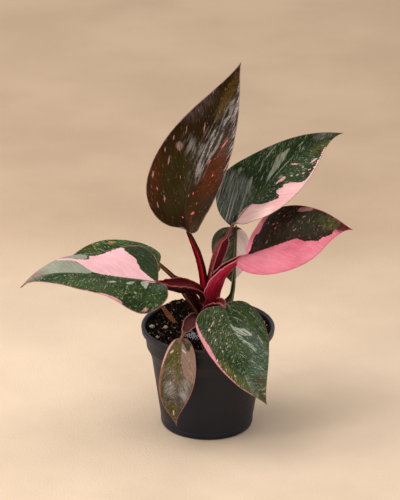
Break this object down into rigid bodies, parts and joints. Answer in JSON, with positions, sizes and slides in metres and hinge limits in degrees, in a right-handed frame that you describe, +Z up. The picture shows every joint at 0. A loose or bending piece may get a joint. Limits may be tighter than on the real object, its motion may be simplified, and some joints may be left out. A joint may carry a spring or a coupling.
{
  "type": "pink princess philodendron",
  "caption": "Young climbing philodendron with pink, green and burgundy variegated leaves on winged red stalks, growing in a plain black nursery pot.",
  "frame": {"origin": "centre of the pot's base, on the surface that it stands on", "axes": "+Z up, -Y towards the plant's front, +X to the right seen from the front"},
  "size_m": [0.2908, 0.1445, 0.3365],
  "materials": {
    "pot_plastic": "satin black, finely scuffed",
    "potting_mix": "rough, crumbly",
    "stem": "satin",
    "netting": "matte woven mesh",
    "dry_scale": "dry, fibrous",
    "perlite": "matte, pitted",
    "dark_leaf": "glossy, veined",
    "green_leaf": "satin, veined and flecked",
    "pink_leaf": "satin, veined",
    "dusky_leaf": "satin, veined",
    "red_stalk": "waxy, finely ribbed",
    "old_stalk": "waxy, weathered"
  },
  "bodies": {
    "root": {"pot": "pot_plastic", "soil": "potting_mix", "stem": "stem", "plug_netting": "netting", "dry_scale": "dry_scale", "perlite_1": "perlite", "perlite_2": "perlite", "perlite_3": "perlite", "perlite_4": "perlite", "perlite_5": "perlite", "blade_crown": "dark_leaf", "stalk_crown": "red_stalk", "blade_upper_right": "green_leaf", "stalk_upper_right": "red_stalk", "blade_right": "pink_leaf", "stalk_right": "red_stalk", "blade_rear": "green_leaf", "stalk_rear": "old_stalk", "blade_left": "green_leaf", "stalk_left": "red_stalk", "blade_left_rear": "green_leaf", "stalk_left_rear": "old_stalk", "blade_front": "green_leaf", "stalk_front": "red_stalk", "blade_small_front": "dusky_leaf", "stalk_small_front": "red_stalk"}
  },
  "joints": []
}
